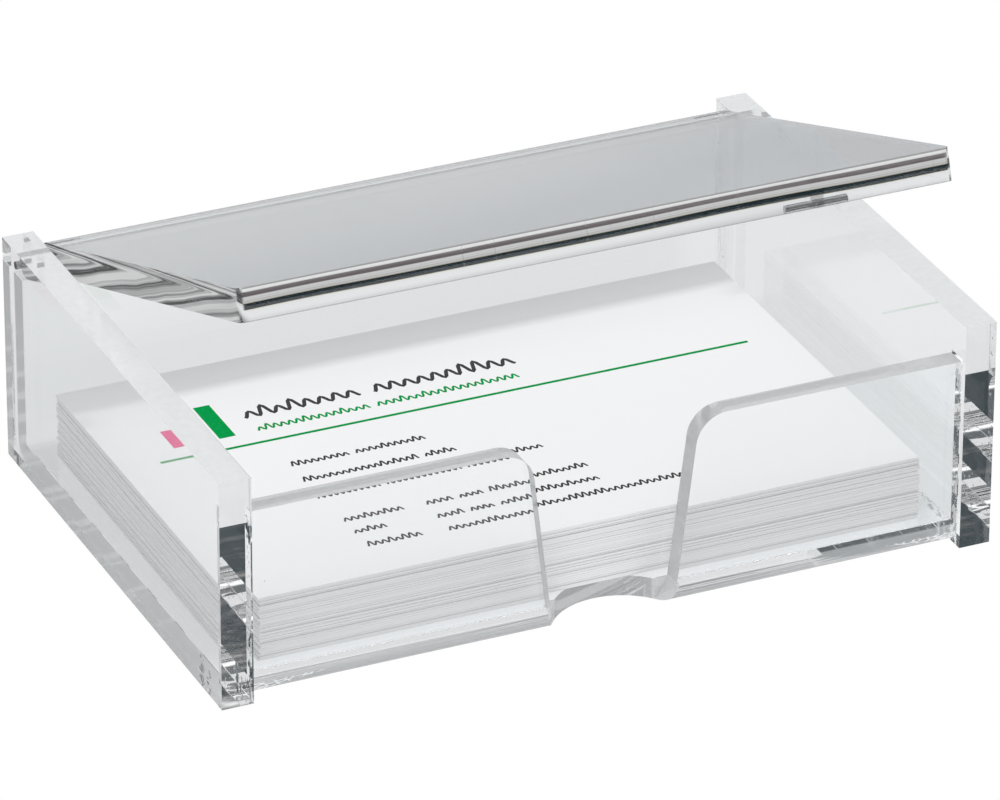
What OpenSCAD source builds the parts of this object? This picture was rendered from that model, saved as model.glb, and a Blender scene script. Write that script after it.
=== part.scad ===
// Clear acrylic box for business cards: one bent tray cemented between two side panels,
// a lid that turns on two steel pins, and a pack of cards.
// +X is to the right, -Y is the front and +Z is up. The origin is at the middle of the
// footprint, on the surface that the box stands on. All sizes are in millimetres.

/* [Box] */
// Width over both side panels
box_w = 99; // [96:1:130]
// Depth of the side panels, front to back
box_d = 68; // [66:1:90]
// Height of the side panels
box_h = 29.5; // [28:0.5:45]
// Thickness of a side panel
panel_t = 4; // [3:0.5:5]

/* [Tray] */
// Thickness of the bent sheet
tray_t = 2.7; // [2:0.1:3]
// How far the sheet stands back from the panels' front and rear edges
tray_inset = 0.8; // [0.4:0.1:2]
// Outer radius of the two bends
bend_r = 2.7; // [2.6:0.1:4]
// Height of the front wall
lip_h = 24.7; // [20:0.1:24.8]
// Height of the rear wall
back_h = 25; // [20:0.1:25]
// Thickness of the cement film at each end of the sheet
cement_t = 0.1; // [0.05:0.05:0.3]

/* [Thumb notch] */
// Width of the notch at the foot of the front wall
notch_w = 16.2; // [12:0.2:24]
// Slant of the notch's sides from the vertical, in degrees
notch_slant = 7; // [1:0.5:12]
// Radius of the two upper corners
notch_corner_r = 4; // [2:0.5:6]
// How far the notch reaches into the floor, from the front wall's outer face
notch_reach = 5.8; // [4:0.1:7]
// Sideways place of the notch's middle
notch_x = 0.5; // [-3:0.1:3]

/* [Lid] */
// Thickness of the lid
lid_t = 4; // [3:0.5:4]
// Length of the lid, front to back
lid_l = 66; // [60:0.5:66]
// Gap between the lid and each side panel
lid_play = 0.4; // [0.2:0.1:1]
// How far the lid reaches behind the hinge axis
lid_tail = 2.2; // [2:0.1:2.3]
// Radius of the lid's rounded rear edge, which clears the rear wall
lid_end_r = 2; // [1:0.1:2]
// Radius of the lid's two front corners
lid_corner_r = 1.2; // [0.5:0.1:3]
// How far the lid stands open, in degrees
lid_open = 20; // [0:1:95]

/* [Hinge] */
// Diameter of a hinge pin
pin_d = 1; // [0.8:0.1:1.6]
// Length of a hinge pin
pin_l = 7.5; // [7:0.1:8]
// Distance from the hinge axis to the panels' rear edge
pin_from_rear = 4; // [4:0.1:6]
// Distance from the hinge axis to the panels' upper edge
pin_from_top = 2; // [2:0.1:2.5]
// Depth of the pin hole in a side panel
panel_hole_l = 3.6; // [2:0.1:3.8]
// Depth of the pin hole in the lid
lid_hole_l = 4.2; // [4:0.1:6]
// Clearance around a pin in the lid, on the radius
pin_play = 0.05; // [0.02:0.01:0.1]

/* [Cards] */
// Length of a card
card_w = 85; // [80:0.5:86]
// Width of a card
card_d = 55; // [50:0.5:56]
// Thickness of a card
card_t = 0.27; // [0.2:0.01:0.4]
// Number of cards in the box
card_count = 30; // [2:1:40]
// Most that a card is out of line with the pack
card_stray = 0.15; // [0:0.05:0.5]

/* [Hidden] */
$fn = 64;
clear_acrylic = [0.86, 0.90, 0.92];
cement_white = [0.93, 0.94, 0.95];
steel_grey = [0.62, 0.64, 0.66];
card_white = [0.96, 0.96, 0.95];

cut = 1;                                // how far a cutter runs past what it cuts
tray_end_w = box_w - 2 * panel_t;       // between the two side panels
tray_w = tray_end_w - 2 * cement_t;
tray_front = -box_d / 2 + tray_inset;
tray_rear = box_d / 2 - tray_inset;
bend_inner_r = 0.2;

// The notch's end is an arc through the wall's outer face, notch_reach deep.
foot_half = notch_w / 2;
notch_r = (foot_half * foot_half + notch_reach * notch_reach) / (2 * notch_reach);
floor_reach = notch_reach - tray_t;     // how far it reaches past the wall's inner face
floor_half = sqrt(notch_r * notch_r - pow(notch_r - floor_reach, 2));
top_half = foot_half + (lip_h - tray_t) * tan(notch_slant);
corner_run = notch_corner_r / tan((90 + notch_slant) / 2);

pin_r = pin_d / 2;
pin_y = box_d / 2 - pin_from_rear;
pin_z = box_h - pin_from_top;
press_fit = 0.01;                       // how much smaller the panels' holes are, on the radius
lid_w = tray_end_w - 2 * lid_play;
panel_inner_x = tray_end_w / 2;
left_pin_x = -panel_inner_x - panel_hole_l;             // pushed to the end of the panel's hole
right_pin_x = lid_w / 2 - lid_hole_l;                   // pushed to the end of the lid's hole

card_gap = 0.0067;                      // air below each card
card_pitch = card_t + card_gap;
pack_x = -0.45;
pack_y = -1;
max_turn = 0.08;                        // in degrees
x_seed = 11;
y_seed = 23;
turn_seed = 37;
stray_x = rands(-card_stray, card_stray, card_count, x_seed);
stray_y = rands(-card_stray, card_stray, card_count, y_seed);
stray_turn = rands(-max_turn, max_turn, card_count, turn_seed);

function card_name(i) = str("card_", i < 9 ? "0" : "", i + 1);
PACK = [for (i = [0:card_count - 2]) card_name(i)];
CASE = ["tray", "left_side_panel", "right_side_panel", "left_cement_seam", "right_cement_seam",
        "left_hinge_pin", "right_hinge_pin"];

// Lays a drawing of Y and Z along X, centred on x.
module along_x(x, length) {
    translate([x, 0, 0]) rotate([90, 0, 90]) linear_extrude(length, center = true) children();
}

// Lays a drawing of X and Z along Y, from y0 to y1.
module along_y(y0, y1) {
    translate([0, y1, 0]) rotate([90, 0, 0]) linear_extrude(y1 - y0) children();
}

// Block from y0 to y1, z0 up to z1, with its two lower corners rounded.
module trough(y0, y1, z0, z1, r) {
    translate([y0, z0 + r]) square([y1 - y0, z1 - z0 - r]);
    translate([y0 + r, z0]) square([y1 - y0 - 2 * r, z1 - z0]);
    for (y = [y0 + r, y1 - r]) translate([y, z0 + r]) circle(r);
}

// The bent sheet seen from its end: front wall, floor and rear wall.
module tray_profile() {
    tallest = max(lip_h, back_h);
    difference() {
        trough(tray_front, tray_rear, 0, tallest, bend_r);
        trough(tray_front + tray_t, tray_rear - tray_t, tray_t, tallest + cut, bend_inner_r);
        translate([tray_front - cut, lip_h]) square([tray_t + 2 * cut, tallest]);
        translate([tray_rear - tray_t - cut, back_h]) square([tray_t + 2 * cut, tallest]);
    }
}

// Rounds the front wall's upper corner at one side of the notch.
module notch_corner() {
    centre_x = top_half + corner_run;
    difference() {
        polygon([
            [top_half - corner_run * sin(notch_slant), lip_h - corner_run * cos(notch_slant)],
            [centre_x, lip_h - notch_corner_r],
            [centre_x, lip_h + cut],
            [top_half - cut, lip_h + cut],
        ]);
        translate([centre_x, lip_h - notch_corner_r]) circle(notch_corner_r);
    }
}

// The notch in the front wall, drawn in X and Z.
module notch_drawing() {
    polygon([
        [-floor_half, -cut], [floor_half, -cut], [floor_half, 0], [foot_half, tray_t],
        [top_half, lip_h], [top_half, lip_h + cut], [-top_half, lip_h + cut],
        [-top_half, lip_h], [-foot_half, tray_t], [-floor_half, 0],
    ]);
    for (side = [0, 1]) mirror([side, 0]) notch_corner();
}

// Thumb notch, through the front wall and on into the floor as an arc.
module thumb_notch() {
    translate([notch_x, 0, 0]) {
        along_y(tray_front - cut, tray_front + tray_t) notch_drawing();
        translate([0, tray_front + notch_reach - notch_r, -cut])
            cylinder(r = notch_r, h = tray_t + bend_inner_r + cut, $fn = 128);
    }
}

module tray() {
    color(clear_acrylic) difference() {
        along_x(0, tray_w) tray_profile();
        thumb_notch();
    }
}

// Side panel, with the blind hole that grips a hinge pin. side is -1 for left, 1 for right.
module side_panel(side) {
    color(clear_acrylic) difference() {
        translate([side * (panel_inner_x + panel_t / 2), 0, box_h / 2])
            cube([panel_t, box_d, box_h], center = true);
        translate([side * (panel_inner_x + panel_hole_l / 2 - cut / 2), pin_y, pin_z])
            rotate([0, 90, 0]) cylinder(r = pin_r - press_fit, h = panel_hole_l + cut, center = true);
    }
}

// Film of solvent cement that joins an end of the tray to its panel.
module cement_seam(side) {
    color(cement_white)
        along_x(side * (tray_w + cement_t) / 2, cement_t) tray_profile();
}

module hinge_pin(x) {
    color(steel_grey)
        translate([x, pin_y, pin_z]) rotate([0, 90, 0]) cylinder(r = pin_r, h = pin_l);
}

// The lid seen from its end, with the hinge axis at the origin and the lid shut.
module lid_profile() {
    end_y = lid_tail - lid_end_r;
    end_z = lid_t / 2 - lid_end_r;
    translate([lid_tail - lid_l, -lid_t / 2]) square([lid_l - lid_end_r, lid_t]);
    if (end_z > 0) translate([end_y - cut, -end_z]) square([lid_end_r + cut, 2 * end_z]);
    for (z = [-end_z, end_z]) translate([end_y, z]) circle(lid_end_r);
}

// What rounding takes off one of the lid's front corners, upright.
module lid_corner_waste(side) {
    corner_x = lid_w / 2 - lid_corner_r;
    corner_y = lid_tail - lid_l + lid_corner_r;
    linear_extrude(lid_t + 2 * cut, center = true) difference() {
        translate([side * (corner_x + lid_corner_r), corner_y - lid_corner_r])
            square(2 * lid_corner_r, center = true);
        translate([side * corner_x, corner_y]) circle(lid_corner_r);
    }
}

module lid() {
    color(clear_acrylic)
        translate([0, pin_y, pin_z]) rotate([-lid_open, 0, 0]) difference() {
            along_x(0, lid_w) lid_profile();
            for (side = [-1, 1]) {
                lid_corner_waste(side);
                translate([side * (lid_w / 2 - lid_hole_l / 2 + cut / 2), 0, 0])
                    rotate([0, 90, 0])
                        cylinder(r = pin_r + pin_play, h = lid_hole_l + cut, center = true);
            }
        }
}

// One card of the pack, counted from the bottom.
module card(i) {
    color(card_white)
        translate([pack_x + stray_x[i], pack_y + stray_y[i], tray_t + card_gap + i * card_pitch])
            rotate([0, 0, stray_turn[i]])
                translate([-card_w / 2, -card_d / 2, 0]) cube([card_w, card_d, card_t]);
}

tray();
side_panel(-1);  // left_side_panel
side_panel(1);  // right_side_panel
cement_seam(-1);  // left_cement_seam
cement_seam(1);  // right_cement_seam
hinge_pin(left_pin_x);  // left_hinge_pin
hinge_pin(right_pin_x);  // right_hinge_pin
lid();
for (i = [0:card_count - 2]) card(i);
card(card_count - 1);  // top_card
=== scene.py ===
import math
import random

import bmesh
import bpy
from mathutils import Matrix, Quaternion, Vector


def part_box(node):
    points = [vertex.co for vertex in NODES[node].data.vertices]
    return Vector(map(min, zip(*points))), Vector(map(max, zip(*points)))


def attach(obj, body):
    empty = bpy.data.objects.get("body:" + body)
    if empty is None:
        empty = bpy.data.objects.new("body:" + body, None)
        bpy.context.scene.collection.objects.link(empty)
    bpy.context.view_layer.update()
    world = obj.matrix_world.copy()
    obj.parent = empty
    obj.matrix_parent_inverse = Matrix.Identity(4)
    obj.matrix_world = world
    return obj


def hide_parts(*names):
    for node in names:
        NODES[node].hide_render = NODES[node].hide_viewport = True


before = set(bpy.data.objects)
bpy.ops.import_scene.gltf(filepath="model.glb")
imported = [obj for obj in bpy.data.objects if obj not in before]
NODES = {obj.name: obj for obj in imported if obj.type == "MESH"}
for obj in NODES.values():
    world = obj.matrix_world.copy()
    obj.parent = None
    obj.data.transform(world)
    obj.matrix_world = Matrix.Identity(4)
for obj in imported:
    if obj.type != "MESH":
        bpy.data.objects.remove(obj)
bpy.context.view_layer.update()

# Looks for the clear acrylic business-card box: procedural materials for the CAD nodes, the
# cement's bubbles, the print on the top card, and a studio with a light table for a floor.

MM = 0.001
SCENE = bpy.context.scene

# Places that the looks are worked out from. Those that aren't read from the frame are the same
# as in the CAD model.
TRAY_LOW, TRAY_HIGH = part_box("tray")
CARD_LOW, CARD_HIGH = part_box("top_card")
PANEL_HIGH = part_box("left_side_panel")[1]
PANEL_INNER_X = -PANEL_HIGH.x
TRAY_T = 2.7 * MM
CEMENT_T = 0.1 * MM
NOTCH_X = 0.5 * MM
NOTCH_HALF = 8.3 * MM
PACK_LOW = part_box("card_01")[0].z
CARD_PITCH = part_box("card_02")[0].z - PACK_LOW
LID_OPEN = math.radians(20)
LID_UP = (0.0, math.sin(LID_OPEN), math.cos(LID_OPEN))
LID_ALONG = (0.0, math.cos(LID_OPEN), -math.sin(LID_OPEN))
LID_T = 4 * MM
PIN_FROM_REAR = 4 * MM
PIN_FROM_TOP = 2 * MM
HINGE = Vector((0.0, PANEL_HIGH.y - PIN_FROM_REAR, PANEL_HIGH.z - PIN_FROM_TOP))
LID_UNDERSIDE = HINGE.dot(Vector(LID_UP)) - LID_T / 2
ACROSS = (1.0, 0.0, 0.0)
ALONG = (0.0, 1.0, 0.0)
UP = (0.0, 0.0, 1.0)

ACRYLIC_IOR = 1.49
CEMENT_IOR = 1.45


# ---------------------------------------------------------------- shader building blocks

def node(tree, kind, **settings):
    """A new shader node. Settings are the node's own properties, or inputs by name."""
    made = tree.nodes.new("ShaderNode" + kind)
    for name, value in settings.items():
        if name in made.bl_rna.properties:
            setattr(made, name, value)
        else:
            made.inputs[name.replace("_", " ")].default_value = value
    return made


def feed(tree, socket, value):
    """Sets an input to a number or a colour, or links a socket to it."""
    if isinstance(value, bpy.types.NodeSocket):
        tree.links.new(value, socket)
    else:
        socket.default_value = value


def maths(tree, operation, *values):
    """One step of arithmetic on numbers or sockets."""
    made = node(tree, "Math", operation=operation)
    for socket, value in zip(made.inputs, values):
        feed(tree, socket, value)
    return made.outputs[0]


def product(tree, *values):
    """All the values multiplied: for masks, where they all hold."""
    result = values[0]
    for value in values[1:]:
        result = maths(tree, "MULTIPLY", result, value)
    return result


def either(tree, *values):
    """The greatest of the values: for masks, where any of them holds."""
    result = values[0]
    for value in values[1:]:
        result = maths(tree, "MAXIMUM", result, value)
    return result


def band(tree, value, low, high):
    """0 below low and 1 above high, or the other way round if high is the lower."""
    made = node(tree, "MapRange", interpolation_type="SMOOTHSTEP", From_Min=low, From_Max=high)
    tree.links.new(value, made.inputs["Value"])
    return made.outputs["Result"]


def scaled(tree, value, low, high):
    """Turns 0 to 1 into low to high."""
    made = node(tree, "MapRange", To_Min=low, To_Max=high)
    tree.links.new(value, made.inputs["Value"])
    return made.outputs["Result"]


def parts_of(tree, vector):
    made = node(tree, "SeparateXYZ")
    tree.links.new(vector, made.inputs[0])
    return made.outputs


def stretched(tree, place, scale):
    made = node(tree, "Mapping")
    made.inputs["Scale"].default_value = scale
    tree.links.new(place, made.inputs["Vector"])
    return made.outputs[0]


def noise(tree, place, scale, detail=2.0, roughness=0.5):
    made = node(tree, "TexNoise", Scale=scale, Detail=detail, Roughness=roughness)
    tree.links.new(place, made.inputs["Vector"])
    return made.outputs["Fac"]


def point_on_x(tree, value):
    """A point at that distance along X, for noise that changes in one direction only."""
    made = node(tree, "CombineXYZ")
    tree.links.new(value, made.inputs[0])
    return made.outputs[0]


def cells(tree, place, scale, feature="F1"):
    """A pattern of uneven cells: the distance to them, and a colour for each."""
    made = node(tree, "TexVoronoi", feature=feature, Scale=scale)
    tree.links.new(place, made.inputs["Vector"])
    return made.outputs


def mixed(tree, amount, first, second):
    """A mix of two colours: amount of the second."""
    made = node(tree, "Mix", data_type="RGBA")
    colours = [socket for socket in made.inputs if socket.type == "RGBA"]
    tree.links.new(amount, made.inputs["Factor"])
    feed(tree, colours[0], first)
    feed(tree, colours[1], second)
    return next(socket for socket in made.outputs if socket.type == "RGBA")


def tinted(tree, value, tint=(1.0, 1.0, 1.0)):
    """A colour with the same value in each channel, times the tint."""
    made = node(tree, "CombineColor")
    for channel, share in zip(made.inputs, tint):
        tree.links.new(product(tree, value, share), channel)
    return made.outputs[0]


def bumped(tree, height, strength, distance):
    """The normal of a surface that has that height, times the distance."""
    made = node(tree, "Bump", Strength=strength, Distance=distance)
    tree.links.new(height, made.inputs["Height"])
    return made.outputs[0]


def measured(tree, vector, direction):
    """How far a vector reaches in a direction."""
    made = node(tree, "VectorMath", operation="DOT_PRODUCT")
    tree.links.new(vector, made.inputs[0])
    made.inputs[1].default_value = direction
    return made.outputs["Value"]


def square_to(tree, normal, direction):
    """How nearly a face is square to a direction: 1 if it is."""
    return maths(tree, "ABSOLUTE", measured(tree, normal, direction))


def painted(tree, colour):
    """A matt surface of that colour."""
    made = node(tree, "BsdfDiffuse")
    tree.links.new(colour, made.inputs["Color"])
    return made.outputs[0]


def blend(tree, amount, first, second):
    """A mix of two shaders: amount of the second."""
    made = node(tree, "MixShader")
    feed(tree, made.inputs[0], amount)
    tree.links.new(first, made.inputs[1])
    tree.links.new(second, made.inputs[2])
    return made.outputs[0]


def ramp(tree, source, stops):
    """A colour ramp from (position, grey or colour) stops."""
    made = node(tree, "ValToRGB")
    elements = made.color_ramp.elements
    while len(elements) < len(stops):
        elements.new(0.5)
    for element, (position, colour) in zip(elements, stops):
        element.position = position
        if isinstance(colour, (int, float)):
            colour = (colour, colour, colour)
        element.color = (*colour, 1)
    tree.links.new(source, made.inputs["Fac"])
    return made.outputs["Color"]


def new_material(name):
    material = bpy.data.materials.new(name)
    material.use_nodes = True
    material.node_tree.nodes.clear()
    return material, material.node_tree


def finish_material(tree, surface):
    out = node(tree, "OutputMaterial")
    tree.links.new(surface, out.inputs["Surface"])


# ---------------------------------------------------------------- camera, light and floor

def make_camera():
    """The photograph's viewing angle: high on the left of the front, with a long lens."""
    azimuth, elevation, roll = (math.radians(a) for a in (-24.34, 27.89, 0.227))
    aim = Vector((-0.72, -3.27, 15.0)) * MM
    distance = 0.9468
    lens, sensor = 285.8, 36
    back = Vector((
        math.sin(azimuth) * math.cos(elevation),
        -math.cos(azimuth) * math.cos(elevation),
        math.sin(elevation),
    ))
    data = bpy.data.cameras.new("camera")
    data.lens = lens
    data.sensor_width = sensor
    data.clip_start = 0.01
    data.clip_end = 20
    camera = bpy.data.objects.new("camera", data)
    SCENE.collection.objects.link(camera)
    camera.location = aim + back * distance
    camera.rotation_mode = "QUATERNION"
    camera.rotation_quaternion = (-back).to_track_quat("-Z", "Y") @ Quaternion((0, 0, 1), roll)
    SCENE.camera = camera


def make_world():
    """A dim room with a wide soft light overhead, whose edge is about 31 degrees up. Seen
    directly it is plain white."""
    world = bpy.data.worlds.new("studio")
    world.use_nodes = True
    SCENE.world = world
    tree = world.node_tree
    tree.nodes.clear()
    _, ahead, up = parts_of(tree, node(tree, "TexCoord").outputs["Generated"])
    dim = (0.028, 0.042, 0.050)
    lamp = [(0.67, 1.2), (0.80, 0.5), (1.0, 0.45)]
    behind = ramp(tree, up, [
        (0.0, (0.19, 0.18, 0.18)), (0.11, (0.13, 0.125, 0.125)), (0.15, dim), (0.485, dim),
        (0.51, 0.14), (0.54, 0.8), (0.58, 1.3), *lamp,
    ])
    before = ramp(tree, up, [(0.0, 0.75), (0.48, 0.65), (0.54, 0.8), (0.58, 1.2), *lamp])
    room = mixed(tree, band(tree, ahead, -0.1, 0.1), before, behind)
    lit = node(tree, "Background", Strength=1.0)
    tree.links.new(room, lit.inputs["Color"])
    plain = node(tree, "Background", Strength=1.0, Color=(1, 1, 1, 1))
    seen = node(tree, "LightPath").outputs["Is Camera Ray"]
    out = node(tree, "OutputWorld")
    tree.links.new(blend(tree, seen, lit.outputs[0], plain.outputs[0]), out.inputs["Surface"])


def make_light(name, place, size, power):
    """A soft lamp that lights what is matt, and leaves gloss to the room."""
    data = bpy.data.lights.new(name, "AREA")
    data.shape = "RECTANGLE"
    data.size, data.size_y = size
    data.energy = power
    lamp = bpy.data.objects.new(name, data)
    SCENE.collection.objects.link(lamp)
    lamp.location = place
    lamp.rotation_mode = "QUATERNION"
    lamp.rotation_quaternion = (-Vector(place)).to_track_quat("-Z", "Y")
    lamp.visible_glossy = False
    lamp.visible_transmission = False


def make_floor():
    """A white table, lit from below round the middle, and most in front of the box. Seen
    directly it is plain white, and mirrored close by it is dimmer."""
    half = 2.0
    gap = 0.3 * MM
    front = -26 * MM
    mirror_glow, front_glow = 0.6, 1.35
    mesh = bpy.data.meshes.new("floor")
    corners = [(-half, -half, -gap), (half, -half, -gap), (half, half, -gap), (-half, half, -gap)]
    mesh.from_pydata(corners, [], [(0, 1, 2, 3)])
    floor = bpy.data.objects.new("floor", mesh)
    SCENE.collection.objects.link(floor)
    material, tree = new_material("light_table")
    place = node(tree, "TexCoord").outputs["Object"]
    distance = node(tree, "VectorMath", operation="LENGTH")
    tree.links.new(place, distance.inputs[0])
    far = distance.outputs["Value"]
    in_front = band(tree, parts_of(tree, place)[1], front + 4 * MM, front - 4 * MM)
    glow = node(tree, "Emission", Strength=1.0)
    path = node(tree, "LightPath")
    mirrored = maths(
        tree, "GREATER_THAN", path.outputs["Is Glossy Ray"], path.outputs["Is Transmission Ray"])
    near = product(tree, mirrored, band(tree, far, 0.16, 0.12))
    strength = product(
        tree, scaled(tree, near, 1.0, mirror_glow), scaled(tree, in_front, 1.0, front_glow))
    tree.links.new(strength, glow.inputs["Strength"])
    tree.links.new(ramp(tree, far, [
        (0.085, 0.62), (0.125, 0.44), (0.24, (0.262, 0.271, 0.287)), (0.6, (0.26, 0.27, 0.284)),
    ]), glow.inputs["Color"])
    # The table's matt colour is darker away from the middle: a painted falloff of light round the
    # box.
    matt = node(tree, "BsdfDiffuse")
    tree.links.new(ramp(tree, far, [(0.085, 0.17), (0.24, 0.10)]), matt.inputs["Color"])
    table = node(tree, "AddShader")
    tree.links.new(glow.outputs[0], table.inputs[0])
    tree.links.new(matt.outputs[0], table.inputs[1])
    white = node(tree, "Emission", Strength=1.0)
    seen = path.outputs["Is Camera Ray"]
    finish_material(tree, blend(tree, seen, table.outputs[0], white.outputs[0]))
    mesh.materials.append(material)


def make_studio():
    make_world()
    make_floor()
    make_light("key", (0, 0.59, 0.82), (0.35, 0.10), 5.6)
    make_light("fill", (-0.45, -0.80, 0.42), (0.70, 0.40), 1.4)
    SCENE.view_settings.view_transform = "Standard"
    SCENE.view_settings.look = "None"
    cycles = SCENE.cycles
    cycles.max_bounces = 32
    cycles.transmission_bounces = 32
    cycles.transparent_max_bounces = 64
    cycles.glossy_bounces = 12
    cycles.diffuse_bounces = 4
    cycles.sample_clamp_indirect = 8


# ---------------------------------------------------------------- clear acrylic

# The masks below are 1 where they hold and 0 elsewhere. Each is worked out from a point's place
# and its face's normal, whether it needs both or not.

def sawn_sheet(direction):
    """The sawn faces of a flat sheet: all those that don't face along its thickness."""
    def mask(tree, place, normal):
        return band(tree, square_to(tree, normal, direction), 0.9, 0.75)
    return mask


def lid_ends(tree, place, normal):
    """The lid's two ends, apart from their rounded front corners."""
    return band(tree, square_to(tree, normal, ACROSS), 0.8, 0.95)


def height_in_lid(tree, place):
    """0 at the lid's underside and 1 at its top."""
    above = maths(tree, "SUBTRACT", measured(tree, place, LID_UP), LID_UNDERSIDE)
    return product(tree, above, 1 / LID_T)


def painted_end_streaks(tree, place):
    """Painted reflections in the lid's left end: dark and light streaks, each of which climbs
    towards the front and turns back along the upper edge. Gives their colour."""
    climb, back, turn = 24 * MM, 26 * MM, 0.74
    softness, stray = 10 * MM, 8 * MM
    height = height_in_lid(tree, place)
    rising = product(tree, height, climb / turn)
    steepness = back / (1 - turn)
    falling = maths(tree, "MULTIPLY_ADD", height, -steepness, climb + steepness * turn)
    bent = maths(tree, "SMOOTH_MIN", rising, falling, softness)
    uneven = product(tree, noise(tree, place, 70.0), stray)
    phase = maths(tree, "ADD", maths(tree, "ADD", measured(tree, place, LID_ALONG), bent), uneven)
    streaks = noise(tree, point_on_x(tree, phase), 105.0, detail=3.0)
    return ramp(tree, streaks, [(0.42, 0.03), (0.54, 1.0)])


def painted_front_reflections(tree, place):
    """Painted reflections along the lid's front edge: the dark and light lines that the edge
    shows, drawn as colour. Gives their colour, and how much they cover."""
    x = parts_of(tree, place)[0]
    height = height_in_lid(tree, place)
    wander = noise(tree, point_on_x(tree, x), 22.0, detail=1.0)
    drift = scaled(tree, wander, -1.0, 1.0)
    middle = product(tree, height, maths(tree, "SUBTRACT", 1.0, height))
    level = maths(tree, "ADD", height, product(tree, middle, drift))
    # Colours of the painted reflection lines, from the underside up.
    teal, gold, brown = (0.008, 0.020, 0.027), (0.45, 0.40, 0.22), (0.15, 0.13, 0.135)
    lines = ramp(tree, level, [
        (0.0, 0.35), (0.33, 0.9), (0.345, gold), (0.36, teal), (0.52, teal), (0.53, gold),
        (0.545, 0.6), (0.58, 0.7), (0.59, 0.4), (0.60, 0.7), (0.64, 0.75), (0.65, 0.5),
        (0.66, 0.78), (0.71, 0.7), (0.73, brown), (0.85, brown), (0.87, 0.8), (0.94, 0.95),
        (0.965, 0.35),
    ])
    cover = ramp(tree, level, [(0.02, 0.5), (0.035, 0.0), (0.33, 0.0), (0.345, 1.0)])
    # Fine ticks that break up the painted reflection lines.
    ticks = noise(tree, point_on_x(tree, x), 1300.0, detail=3.0)
    return lines, product(tree, cover, scaled(tree, band(tree, ticks, 0.6, 0.72), 0.9, 0.6))


def lid_tail(tree, place, normal):
    """The lid's rounded rear edge, where painted shade is laid inside."""
    y = parts_of(tree, place)[1]
    round_edge = band(tree, square_to(tree, normal, LID_UP), 0.99, 0.96)
    return product(tree, round_edge, band(tree, y, PANEL_HIGH.y - 8 * MM, PANEL_HIGH.y - 7 * MM))


def panel_feet(tree, place, normal):
    """The side panels' lower edges, which show as bands in their front edges."""
    z = parts_of(tree, place)[2]
    low = band(tree, z, 0.4 * MM, 0.2 * MM)
    return product(tree, low, band(tree, square_to(tree, normal, UP), 0.5, 0.9))


def panel_tops(tree, place, normal):
    """The side panels' upper edges, which are sawn but not polished."""
    z = parts_of(tree, place)[2]
    high = band(tree, z, PANEL_HIGH.z - 0.3 * MM, PANEL_HIGH.z - 0.1 * MM)
    return product(tree, high, band(tree, square_to(tree, normal, UP), 0.5, 0.9))


def tray_arc(tree, place, normal):
    """The arc that the thumb notch cuts in the floor."""
    x, y, z = parts_of(tree, place)
    aside = maths(tree, "ABSOLUTE", maths(tree, "SUBTRACT", x, NOTCH_X))
    return product(
        tree,
        band(tree, aside, NOTCH_HALF + 0.3 * MM, NOTCH_HALF),
        band(tree, z, TRAY_T + 0.5 * MM, TRAY_T + 0.3 * MM),
        band(tree, y, 0.0, -10 * MM),
        band(tree, square_to(tree, normal, UP), 0.4, 0.2),
    )


def milky_bend(tree, place, normal):
    """The front bend: a little milky all along, and crazed by cement at both corners."""
    x, y, z = parts_of(tree, place)
    inward = maths(tree, "SUBTRACT", TRAY_HIGH.x, maths(tree, "ABSOLUTE", x))
    reach = 9 * MM
    lowest = maths(tree, "MULTIPLY_ADD", inward, 1.5 * MM / reach, 0.3 * MM)
    patch = product(
        tree, band(tree, maths(tree, "SUBTRACT", z, lowest), 0.0, 0.15 * MM),
        band(tree, z, 2.05 * MM, 1.9 * MM))
    cracks = cells(tree, stretched(tree, place, (0.7, 0.7, 1.6)), 1100.0, "DISTANCE_TO_EDGE")
    crazed = scaled(tree, band(tree, cracks["Distance"], 0.16, 0.05), 0.25, 1.0)
    bend = product(
        tree, band(tree, z, TRAY_T + 0.5 * MM, TRAY_T + 0.2 * MM),
        band(tree, y, TRAY_LOW.y + TRAY_T + 0.5 * MM, TRAY_LOW.y + TRAY_T + 0.2 * MM))
    return product(tree, bend, either(tree, 0.35, product(tree, patch, crazed)))


def sawn_tray(tree, place, normal):
    """The tray's cut faces: its ends, its upper edges, and the thumb notch."""
    z = parts_of(tree, place)[2]
    ends = band(tree, square_to(tree, normal, ACROSS), 0.12, 0.3)
    tops = product(
        tree, band(tree, square_to(tree, normal, UP), 0.5, 0.8),
        band(tree, z, TRAY_LOW.z + 20 * MM, TRAY_LOW.z + 21 * MM),
    )
    return either(tree, ends, tops, tray_arc(tree, place, normal))


def bonded(tree, place, normal):
    """Where cement joins the tray's ends to the panels, apart from some dry patches."""
    x, y, z = parts_of(tree, place)
    outward = maths(tree, "ABSOLUTE", x)
    aside = maths(tree, "ABSOLUTE", y)
    floor = band(tree, z, TRAY_T + 0.05 * MM, TRAY_T)
    walls = band(tree, aside, TRAY_HIGH.y - TRAY_T - 0.05 * MM, TRAY_HIGH.y - TRAY_T)
    dry = noise(tree, stretched(tree, place, (0.0, 1.0, 1.0)), 420.0, detail=3.0)
    return product(
        tree,
        band(tree, outward, TRAY_HIGH.x - 0.05 * MM, TRAY_HIGH.x - 0.02 * MM),
        band(tree, outward, PANEL_INNER_X + 0.06 * MM, PANEL_INNER_X + 0.03 * MM),
        band(tree, square_to(tree, normal, ACROSS), 0.9, 0.95),
        either(tree, floor, walls),
        band(tree, aside, TRAY_HIGH.y + 0.03 * MM, TRAY_HIGH.y),
        band(tree, z, TRAY_HIGH.z + 0.03 * MM, TRAY_HIGH.z),
        either(tree, band(tree, dry, 0.60, 0.56), band(tree, y, -26 * MM, -22 * MM)),
    )


def dull_tray(tree, place, normal):
    """Where the tray isn't polished: the front wall's cut faces."""
    y = parts_of(tree, place)[1]
    return product(tree, sawn_tray(tree, place, normal), band(tree, y, 0.0, -1 * MM))


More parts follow.
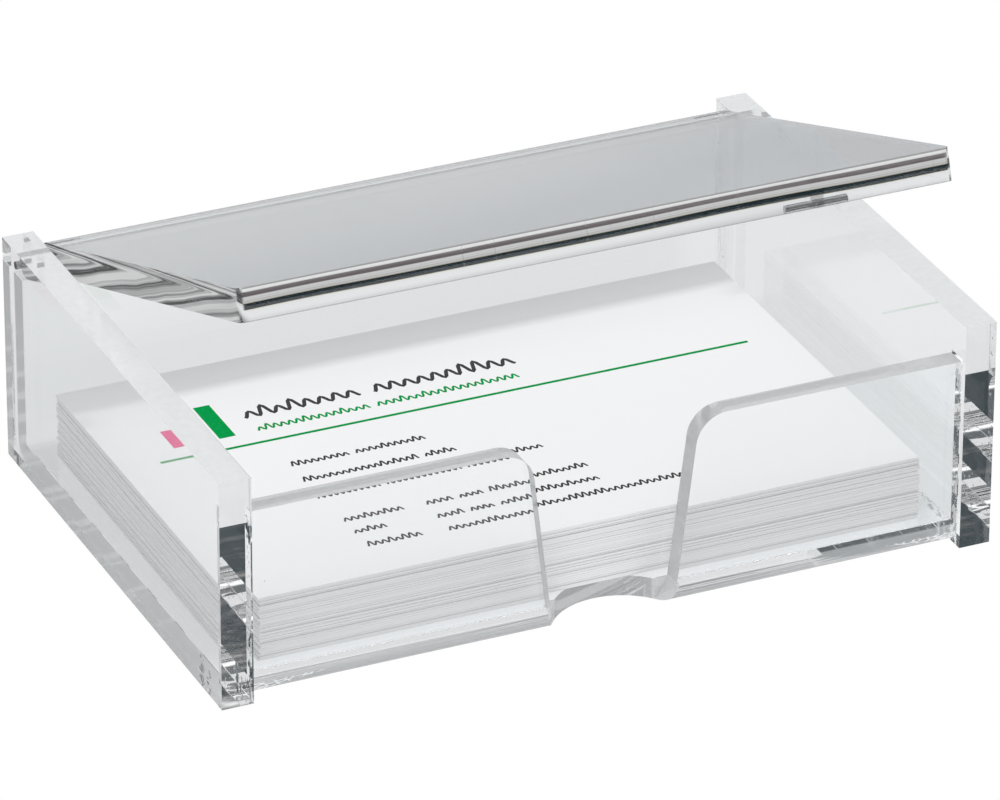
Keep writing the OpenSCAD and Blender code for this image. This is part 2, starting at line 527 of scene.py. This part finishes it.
def let_light_in(tree, shader, sawn, clearness, edge_loss):
    """Acrylic lets lamps and diffuse light through, so that what it holds is lit. clearness is
    how much passes a face, and edge_loss how much less of it passes a sawn one."""
    path = node(tree, "LightPath")
    lighting = either(tree, path.outputs["Is Shadow Ray"], path.outputs["Is Diffuse Ray"])
    glance = node(tree, "LayerWeight", Blend=0.5).outputs["Facing"]
    inside = node(tree, "NewGeometry").outputs["Backfacing"]
    outside = maths(tree, "SUBTRACT", 1.0, inside)
    lost = product(tree, maths(tree, "POWER", glance, 5.0), outside)
    passed = maths(tree, "SUBTRACT", clearness, lost)
    passed = product(tree, passed, scaled(tree, sawn, 1.0, 1.0 - edge_loss))
    clear = node(tree, "BsdfTransparent")
    tree.links.new(tinted(tree, either(tree, passed, 0.0)), clear.inputs["Color"])
    return blend(tree, lighting, shader, clear.outputs[0])


def frosted(tree, tone=1.0):
    """What scatters light at a sawn face: most of it back, and the rest through."""
    white = (0.92 * tone, 0.94 * tone, 0.96 * tone, 1)
    back = node(tree, "BsdfDiffuse", Color=white)
    through = node(tree, "BsdfTranslucent", Color=white)
    return blend(tree, 0.3, back.outputs[0], through.outputs[0])


def dust(tree, place, specks):
    """Small specks of dust. specks is the share of the cells that hold one."""
    whiteness = 0.35
    found = cells(tree, place, 160.0)
    chance = parts_of(tree, found["Color"])
    size = scaled(tree, chance[1], 0.010, 0.030)
    return product(
        tree, maths(tree, "LESS_THAN", found["Distance"], size),
        maths(tree, "LESS_THAN", chance[0], specks), whiteness,
    )


def paint_inner_shade(tree, surface, faces):
    """Painted shade: at those faces, part of the light that would be thrown back into the acrylic
    is swapped for a dark matt colour.
    """
    share = 0.42
    thrown_back = node(tree, "Fresnel", IOR=ACRYLIC_IOR).outputs[0]
    dark = node(tree, "BsdfDiffuse", Color=(0.03, 0.035, 0.04, 1))
    return blend(tree, product(tree, faces, thrown_back, share), surface, dark.outputs[0])


def paint_reflections(tree, surface, place, normal):
    """Paints reflections on the lid as matt colour: the streaks seen in its left end and the lines
    seen along its front edge.
    """
    share = 0.75
    x, y, _ = parts_of(tree, place)
    left_end = product(tree, lid_ends(tree, place, normal), band(tree, x, 0.0, -1 * MM), share)
    surface = blend(tree, left_end, surface, painted(tree, painted_end_streaks(tree, place)))
    lines, cover = painted_front_reflections(tree, place)
    front = product(
        tree, band(tree, square_to(tree, normal, LID_ALONG), 0.8, 0.95),
        band(tree, y, 0.0, -10 * MM), cover,
    )
    return blend(tree, front, surface, painted(tree, lines))


def join_with_cement(tree, surface, faces):
    """Where cement joins the faces there is no gloss, only a milky film, fainter at a slant."""
    through = node(tree, "BsdfTransparent")
    glance = node(tree, "LayerWeight", Blend=0.5).outputs["Facing"]
    milkiness = scaled(tree, band(tree, glance, 0.6, 0.35), 0.08, 0.55)
    film = blend(tree, milkiness, through.outputs[0], frosted(tree))
    return blend(tree, faces, surface, film)


def acrylic(name, sawn_faces, wave, fine, haze, clearness=0.985, wall_clearness=0.985,
            edge_loss=0.0, tone=1.0, hazy=None, wavy=None, painted_reflections=False, painted_shade_faces=None, milky=None,
            specks=0.0, joined=False):
    """Clear cast acrylic with sawn and polished edges, which carry fine saw marks.

    wave is how uneven the edges are where wavy says, and haze how much light they scatter where
    hazy says, or else on all of them; tone is how pale that haze is. clearness is how much
    light passes a face, wall_clearness the same for a rear wall, and edge_loss how much less
    passes a sawn face. Painted shade is laid inside the faces given for it, in place of part of
    the light thrown back there. milky says where the sheet is milky, specks how much dust there
    is, and joined that cement bonds it. Painted reflections are drawn on it when asked: the
    streaks of the lid's left end and the lines of its front edge."""
    material, tree = new_material(name)
    texture = node(tree, "TexCoord")
    place, normal = texture.outputs["Object"], texture.outputs["Normal"]
    sawn = sawn_faces(tree, place, normal)

    slow = noise(tree, stretched(tree, place, (0.8, 1.0, 1.0)), 85.0, detail=2.5)
    marks = noise(tree, stretched(tree, place, (0.12, 1.0, 1.0)), 900.0, detail=3.0)
    uneven = wavy(tree, place, normal) if wavy else sawn
    height = maths(
        tree, "ADD", product(tree, slow, uneven, wave / MM), product(tree, marks, sawn, fine / MM))
    glass = node(tree, "BsdfPrincipled", IOR=ACRYLIC_IOR, Base_Color=(0.975, 0.99, 1.0, 1))
    glass.inputs["Transmission Weight"].default_value = 1.0
    tree.links.new(scaled(tree, sawn, 0.0, 0.02), glass.inputs["Roughness"])
    tree.links.new(bumped(tree, height, 1.0, MM), glass.inputs["Normal"])

    mottle = noise(tree, place, 1100.0, detail=4.0)
    where = hazy(tree, place, normal) if hazy else sawn
    amount = product(tree, where, haze, maths(tree, "MULTIPLY_ADD", mottle, 0.25, 0.88))
    amount = either(tree, amount, dust(tree, place, specks))
    surface = blend(tree, amount, glass.outputs[0], frosted(tree, tone))
    # Painted shade inside the given faces, in place of part of the light thrown back there.
    if painted_shade_faces:
        surface = paint_inner_shade(tree, surface, painted_shade_faces(tree, place, normal))
    # Painted reflections on the lid: streaks in its left end and lines along its front edge.
    if painted_reflections:
        surface = paint_reflections(tree, surface, place, normal)
    if milky:
        surface = blend(tree, milky(tree, place, normal), surface, frosted(tree))
    if joined:
        surface = join_with_cement(tree, surface, bonded(tree, place, normal))

    rear = band(tree, parts_of(tree, place)[1], 0.0, 1 * MM)
    rear_wall = product(tree, square_to(tree, normal, ALONG), rear)
    passing = scaled(tree, rear_wall, clearness, wall_clearness)
    finish_material(tree, let_light_in(tree, surface, sawn, passing, edge_loss))
    return material


# ---------------------------------------------------------------- card, ink, steel and cement

def card_stock(name, edge_low, edge_high):
    """Matt white card. Its cut edge is a little darker, and each sheet's differs. On some sheets
    a band of painted shade runs along the lower edge, for the shade in the gaps between cards.
    """
    material, tree = new_material(name)
    chance = node(tree, "ObjectInfo").outputs["Random"]
    texture = node(tree, "TexCoord")
    place = texture.outputs["Object"]
    edge = band(tree, square_to(tree, texture.outputs["Normal"], UP), 0.6, 0.3)
    streaks = noise(tree, stretched(tree, place, (0.01, 0.01, 3.0)), 900.0, detail=3.0)
    sheet = scaled(tree, chance, edge_low, edge_high)
    up_the_pack = maths(tree, "SUBTRACT", parts_of(tree, place)[2], PACK_LOW)
    step = maths(tree, "FRACT", product(tree, up_the_pack, 1 / CARD_PITCH))
    # Painted shade: some sheets are darker along their lower edge, for the shade between cards.
    line = product(tree, band(tree, step, 0.22, 0.05), maths(tree, "POWER", chance, 3.0))
    tone = product(tree, sheet, scaled(tree, streaks, 0.96, 1.04), scaled(tree, line, 1.0, 0.35))
    face_tone = 0.84
    face = product(tree, maths(tree, "SUBTRACT", 1.0, edge), face_tone)
    shade = maths(tree, "ADD", product(tree, edge, tone), face)
    fibre = noise(tree, place, 2500.0, detail=3.0)
    card = node(tree, "BsdfPrincipled", Roughness=0.75)
    card.inputs["Specular IOR Level"].default_value = 0.2
    tree.links.new(tinted(tree, shade, (0.985, 0.99, 1.0)), card.inputs["Base Color"])
    tree.links.new(bumped(tree, fibre, 0.2, 0.05 * MM), card.inputs["Normal"])
    finish_material(tree, card.outputs[0])
    return material


def ink(name, colour):
    """Printing ink: a flat colour that the card's fibres break up a little."""
    material, tree = new_material(name)
    place = node(tree, "TexCoord").outputs["Object"]
    worn = band(tree, noise(tree, place, 3000.0, detail=2.0), 0.45, 0.75)
    lighter = [channel * 1.25 + 0.005 for channel in colour]
    surface = node(tree, "BsdfPrincipled", Roughness=0.7)
    surface.inputs["Specular IOR Level"].default_value = 0.05
    tree.links.new(mixed(tree, worn, (*colour, 1), (*lighter, 1)), surface.inputs["Base Color"])
    finish_material(tree, surface.outputs[0])
    return material


def steel():
    """Bright drawn wire, with fine lines along it."""
    material, tree = new_material("pin_steel")
    place = node(tree, "TexCoord").outputs["Object"]
    lines = noise(tree, stretched(tree, place, (0.05, 1.0, 1.0)), 9000.0)
    metal = node(tree, "BsdfPrincipled", Metallic=1.0)
    tree.links.new(ramp(tree, lines, [(0.3, 0.30), (0.7, 0.55)]), metal.inputs["Base Color"])
    tree.links.new(scaled(tree, lines, 0.18, 0.38), metal.inputs["Roughness"])
    finish_material(tree, metal.outputs[0])
    return material


def cement():
    """Dried solvent cement: clear, with a milky skin in places."""
    material, tree = new_material("acrylic_cement")
    place = node(tree, "TexCoord").outputs["Object"]
    skin = band(tree, noise(tree, place, 1500.0, detail=3.0), 0.35, 0.65)
    glass = node(tree, "BsdfPrincipled", IOR=CEMENT_IOR, Roughness=0.05)
    glass.inputs["Transmission Weight"].default_value = 1.0
    milky = blend(tree, scaled(tree, skin, 0.25, 0.7), glass.outputs[0], frosted(tree))
    finish_material(tree, milky)
    return material


# ---------------------------------------------------------------- dressing nodes, adding pieces

def set_material(name, material):
    """Gives a CAD node a material, and leaves its mesh as it is."""
    if not NODES[name].material_slots:
        NODES[name].data.materials.append(None)
    for slot in NODES[name].material_slots:
        slot.link = "OBJECT"
        slot.material = material


def smooth_group():
    """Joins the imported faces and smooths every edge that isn't a real corner."""
    tree = bpy.data.node_groups.new("join_and_smooth", "GeometryNodeTree")
    tree.interface.new_socket("Geometry", in_out="INPUT", socket_type="NodeSocketGeometry")
    tree.interface.new_socket("Geometry", in_out="OUTPUT", socket_type="NodeSocketGeometry")
    start = tree.nodes.new("NodeGroupInput")
    join = tree.nodes.new("GeometryNodeMergeByDistance")
    join.inputs["Distance"].default_value = 0.001 * MM
    smooth = tree.nodes.new("GeometryNodeSetShadeSmooth")
    smooth.domain = "FACE"
    angle = tree.nodes.new("GeometryNodeInputMeshEdgeAngle")
    corner = tree.nodes.new("FunctionNodeCompare")
    corner.data_type = "FLOAT"
    corner.operation = "GREATER_THAN"
    corner.inputs[1].default_value = math.radians(25)
    sharpen = tree.nodes.new("GeometryNodeSetShadeSmooth")
    sharpen.domain = "EDGE"
    sharpen.inputs["Shade Smooth"].default_value = False
    end = tree.nodes.new("NodeGroupOutput")
    links = tree.links
    links.new(start.outputs[0], join.inputs["Geometry"])
    links.new(join.outputs[0], smooth.inputs["Geometry"])
    links.new(smooth.outputs[0], sharpen.inputs["Geometry"])
    links.new(angle.outputs["Unsigned Angle"], corner.inputs[0])
    links.new(corner.outputs[0], sharpen.inputs["Selection"])
    links.new(sharpen.outputs[0], end.inputs[0])
    return tree


def soften(name, width, group):
    """Gives a CAD node joined faces, a small polished bevel and true normals."""
    piece = NODES[name]
    piece.modifiers.new("join", "NODES").node_group = group
    bevel = piece.modifiers.new("polish", "BEVEL")
    bevel.width = width
    bevel.segments = 3
    bevel.limit_method = "ANGLE"
    bevel.angle_limit = math.radians(40)
    bevel.harden_normals = True
    normals = piece.modifiers.new("normals", "WEIGHTED_NORMAL")
    normals.keep_sharp = True
    normals.weight = 100


def add_piece(name, work, material, body):
    """Turns a bmesh into a piece with that material, which rides on a body."""
    bmesh.ops.recalc_face_normals(work, faces=work.faces)
    mesh = bpy.data.meshes.new(name)
    work.to_mesh(mesh)
    work.free()
    mesh.materials.append(material)
    piece = bpy.data.objects.new(name, mesh)
    SCENE.collection.objects.link(piece)
    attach(piece, body)
    return piece


# ---------------------------------------------------------------- the case

def dress_case():
    group = smooth_group()
    panel = acrylic(
        "clear_acrylic_panel", sawn_sheet(ACROSS), wave=0.15 * MM, fine=0.002 * MM, haze=0.4,
        hazy=panel_tops, wavy=panel_feet, specks=0.12, joined=True)
    # The lid carries painted reflections on its left end and front edge, and painted shade inside
    # its rounded rear edge.
    lid = acrylic(
        "clear_acrylic_lid", sawn_sheet(LID_UP), wave=0.05 * MM, fine=0.0, haze=0.0,
        wavy=lid_ends, painted_reflections=True, painted_shade_faces=lid_tail, specks=0.2)
    tray = acrylic(
        "clear_acrylic_tray", sawn_tray, wave=0.004 * MM, fine=0.0, haze=0.78,
        tone=0.62, hazy=dull_tray, milky=milky_bend, clearness=0.93, wall_clearness=0.62,
        edge_loss=0.3, specks=0.12, joined=True)
    metal = steel()
    finishes = [
        ("left_side_panel", panel, 0.2), ("right_side_panel", panel, 0.2), ("lid", lid, 0.2),
        ("tray", tray, 0.15), ("left_hinge_pin", metal, 0.1), ("right_hinge_pin", metal, 0.1),
    ]
    for name, material, bevel in finishes:
        set_material(name, material)
        soften(name, bevel * MM, group)


def seam_spot(chance):
    """A place in the tray's profile, as (y, z): most often low down and near the front."""
    floor_share, front_share = 0.6, 0.7
    margin, wall_height = 0.5 * MM, 21 * MM
    if chance.random() < floor_share:
        depth = (TRAY_HIGH.y - TRAY_LOW.y - 2 * margin) * chance.random() ** 1.6
        return TRAY_LOW.y + margin + depth, TRAY_T * chance.uniform(0.15, 0.85)
    across = TRAY_T * chance.uniform(0.15, 0.85)
    y = TRAY_LOW.y + across if chance.random() < front_share else TRAY_HIGH.y - across
    return y, TRAY_T + wall_height * chance.random() ** 1.3


def make_seam(side, material):
    """The film of cement at one end of the tray: it shows as small flat bubbles."""
    name = "left" if side < 0 else "right"
    chance = random.Random(5 if side < 0 else 9)
    middle = side * (TRAY_HIGH.x + CEMENT_T / 2)
    flatness = 0.35 * CEMENT_T
    bubbles = 160
    work = bmesh.new()
    for _ in range(bubbles):
        y, z = seam_spot(chance)
        radius = MM * chance.uniform(0.05, 0.28)
        flat = Matrix.Diagonal((flatness, radius, radius * chance.uniform(0.5, 1.0), 1.0))
        turn = Matrix.Rotation(chance.uniform(0, math.pi), 4, "X")
        place = Matrix.Translation((middle, y, z)) @ turn @ flat
        bmesh.ops.create_icosphere(work, subdivisions=2, radius=1.0, matrix=place)
    for face in work.faces:
        face.smooth = True
    film = add_piece(name + "_cement_film", work, material, "case")
    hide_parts(name + "_cement_seam")


# ---------------------------------------------------------------- the cards

def card_point(x, y, height=0.0):
    """A point on the top card, from its middle, in millimetres."""
    middle = (CARD_LOW + CARD_HIGH) / 2
    return Vector((middle.x + x * MM, middle.y + y * MM, CARD_HIGH.z + height * MM))


def add_strip(work, left, right):
    """A thin closed ribbon of ink on the top card, from its two sides in millimetres."""
    low, high = 0.002, 0.008
    rings = []
    for (x0, y0), (x1, y1) in zip(left, right):
        corners = ((x0, y0, low), (x1, y1, low), (x1, y1, high), (x0, y0, high))
        rings.append([work.verts.new(card_point(*corner)) for corner in corners])
    work.faces.new(rings[0])
    work.faces.new(list(reversed(rings[-1])))
    for first, second in zip(rings, rings[1:]):
        for i in range(4):
            j = (i + 1) % 4
            work.faces.new((first[i], second[i], second[j], first[j]))


def add_block(work, x0, y0, x1, y1):
    add_strip(work, [(x0, y0), (x0, y1)], [(x1, y0), (x1, y1)])


def add_stroke(work, path, weight):
    """A pen stroke of even weight along a path of points."""
    left, right = [], []
    for i, (x, y) in enumerate(path):
        before, after = path[max(i - 1, 0)], path[min(i + 1, len(path) - 1)]
        along = Vector((after[0] - before[0], after[1] - before[1])).normalized()
        aside = Vector((-along.y, along.x)) * weight / 2
        left.append((x + aside.x, y + aside.y))
        right.append((x - aside.x, y - aside.y))
    add_strip(work, left, right)


def add_scribble(work, x, y, length, height, weight, chance):
    """Stands in for a word: a wavy line, with no letters in it."""
    step = height * 0.72
    turns = max(2, round(length / step))
    points_per_turn = 8
    path = []
    swing = [height * chance.choice((0.6, 0.7, 0.75, 1.0)) for _ in range(turns + 1)]
    for i in range(turns * points_per_turn + 1):
        turn = i / points_per_turn
        lift = (1 - math.cos(2 * math.pi * turn)) / 2
        path.append((x + length * turn / turns, y + weight / 2 + lift * swing[int(turn)]))
    add_stroke(work, path, weight)


def add_line(work, x, y, words, height, weight, chance):
    """A line of scribbled words, given as their lengths, with a gap after each."""
    for length in words:
        add_scribble(work, x, y, length, height, weight, chance)
        x += length + height * 0.75


def print_card():
    """A neutral design in place of the printed name and address."""
    chance = random.Random(31)
    inks = {
        "ink_green": (0.0, 0.28, 0.06),
        "ink_magenta": (0.70, 0.0, 0.17),
        "ink_grey": (0.05, 0.048, 0.05),
    }
    made = {name: bmesh.new() for name in inks}
    green, magenta, grey = made["ink_green"], made["ink_magenta"], made["ink_grey"]
    add_block(magenta, -34.65, 9.1, -32.55, 13.6)
    add_block(green, -31.65, 9.1, -29.55, 17.6)
    add_block(green, -37.5, 6.1, 36.9, 6.6)
    add_line(grey, -26.8, 12.4, (15.0, 18.6), 2.5, 0.5, chance)
    add_line(green, -26.6, 9.0, (14.6, 18.6), 1.35, 0.3, chance)
    small, thin = 1.15, 0.27
    # Where each small line starts, and how long its words are.
    for x, y, words in (
        (-26.4, -0.9, (7.4, 9.0)), (-26.6, -5.0, (14.8, 4.0)), (-26.7, -8.4, (8.0, 9.6, 10.2)),
        (-26.1, -14.8, (7.6,)), (-26.1, -17.9, (4.1,)), (-25.9, -21.4, (6.9,)),
        (-15.6, -14.9, (3.4, 3.0, 13.2)), (-15.7, -18.4, (3.4, 3.0, 13.2)),
        (-15.7, -21.7, (31.0,)),
    ):
        add_line(grey, x, y, words, small, thin, chance)
    for name, work in made.items():
        add_piece("print_" + name, work, ink(name, inks[name]), "top_card")


def dress_cards():
    stock = card_stock("card_stock", 0.82, 0.88)
    for name in NODES:
        if name.startswith("card_"):
            set_material(name, stock)
    set_material("top_card", card_stock("printed_card", 0.84, 0.88))
    print_card()


make_camera()
make_studio()
dress_case()
glue = cement()
for end in (-1, 1):
    make_seam(end, glue)
dress_cards()
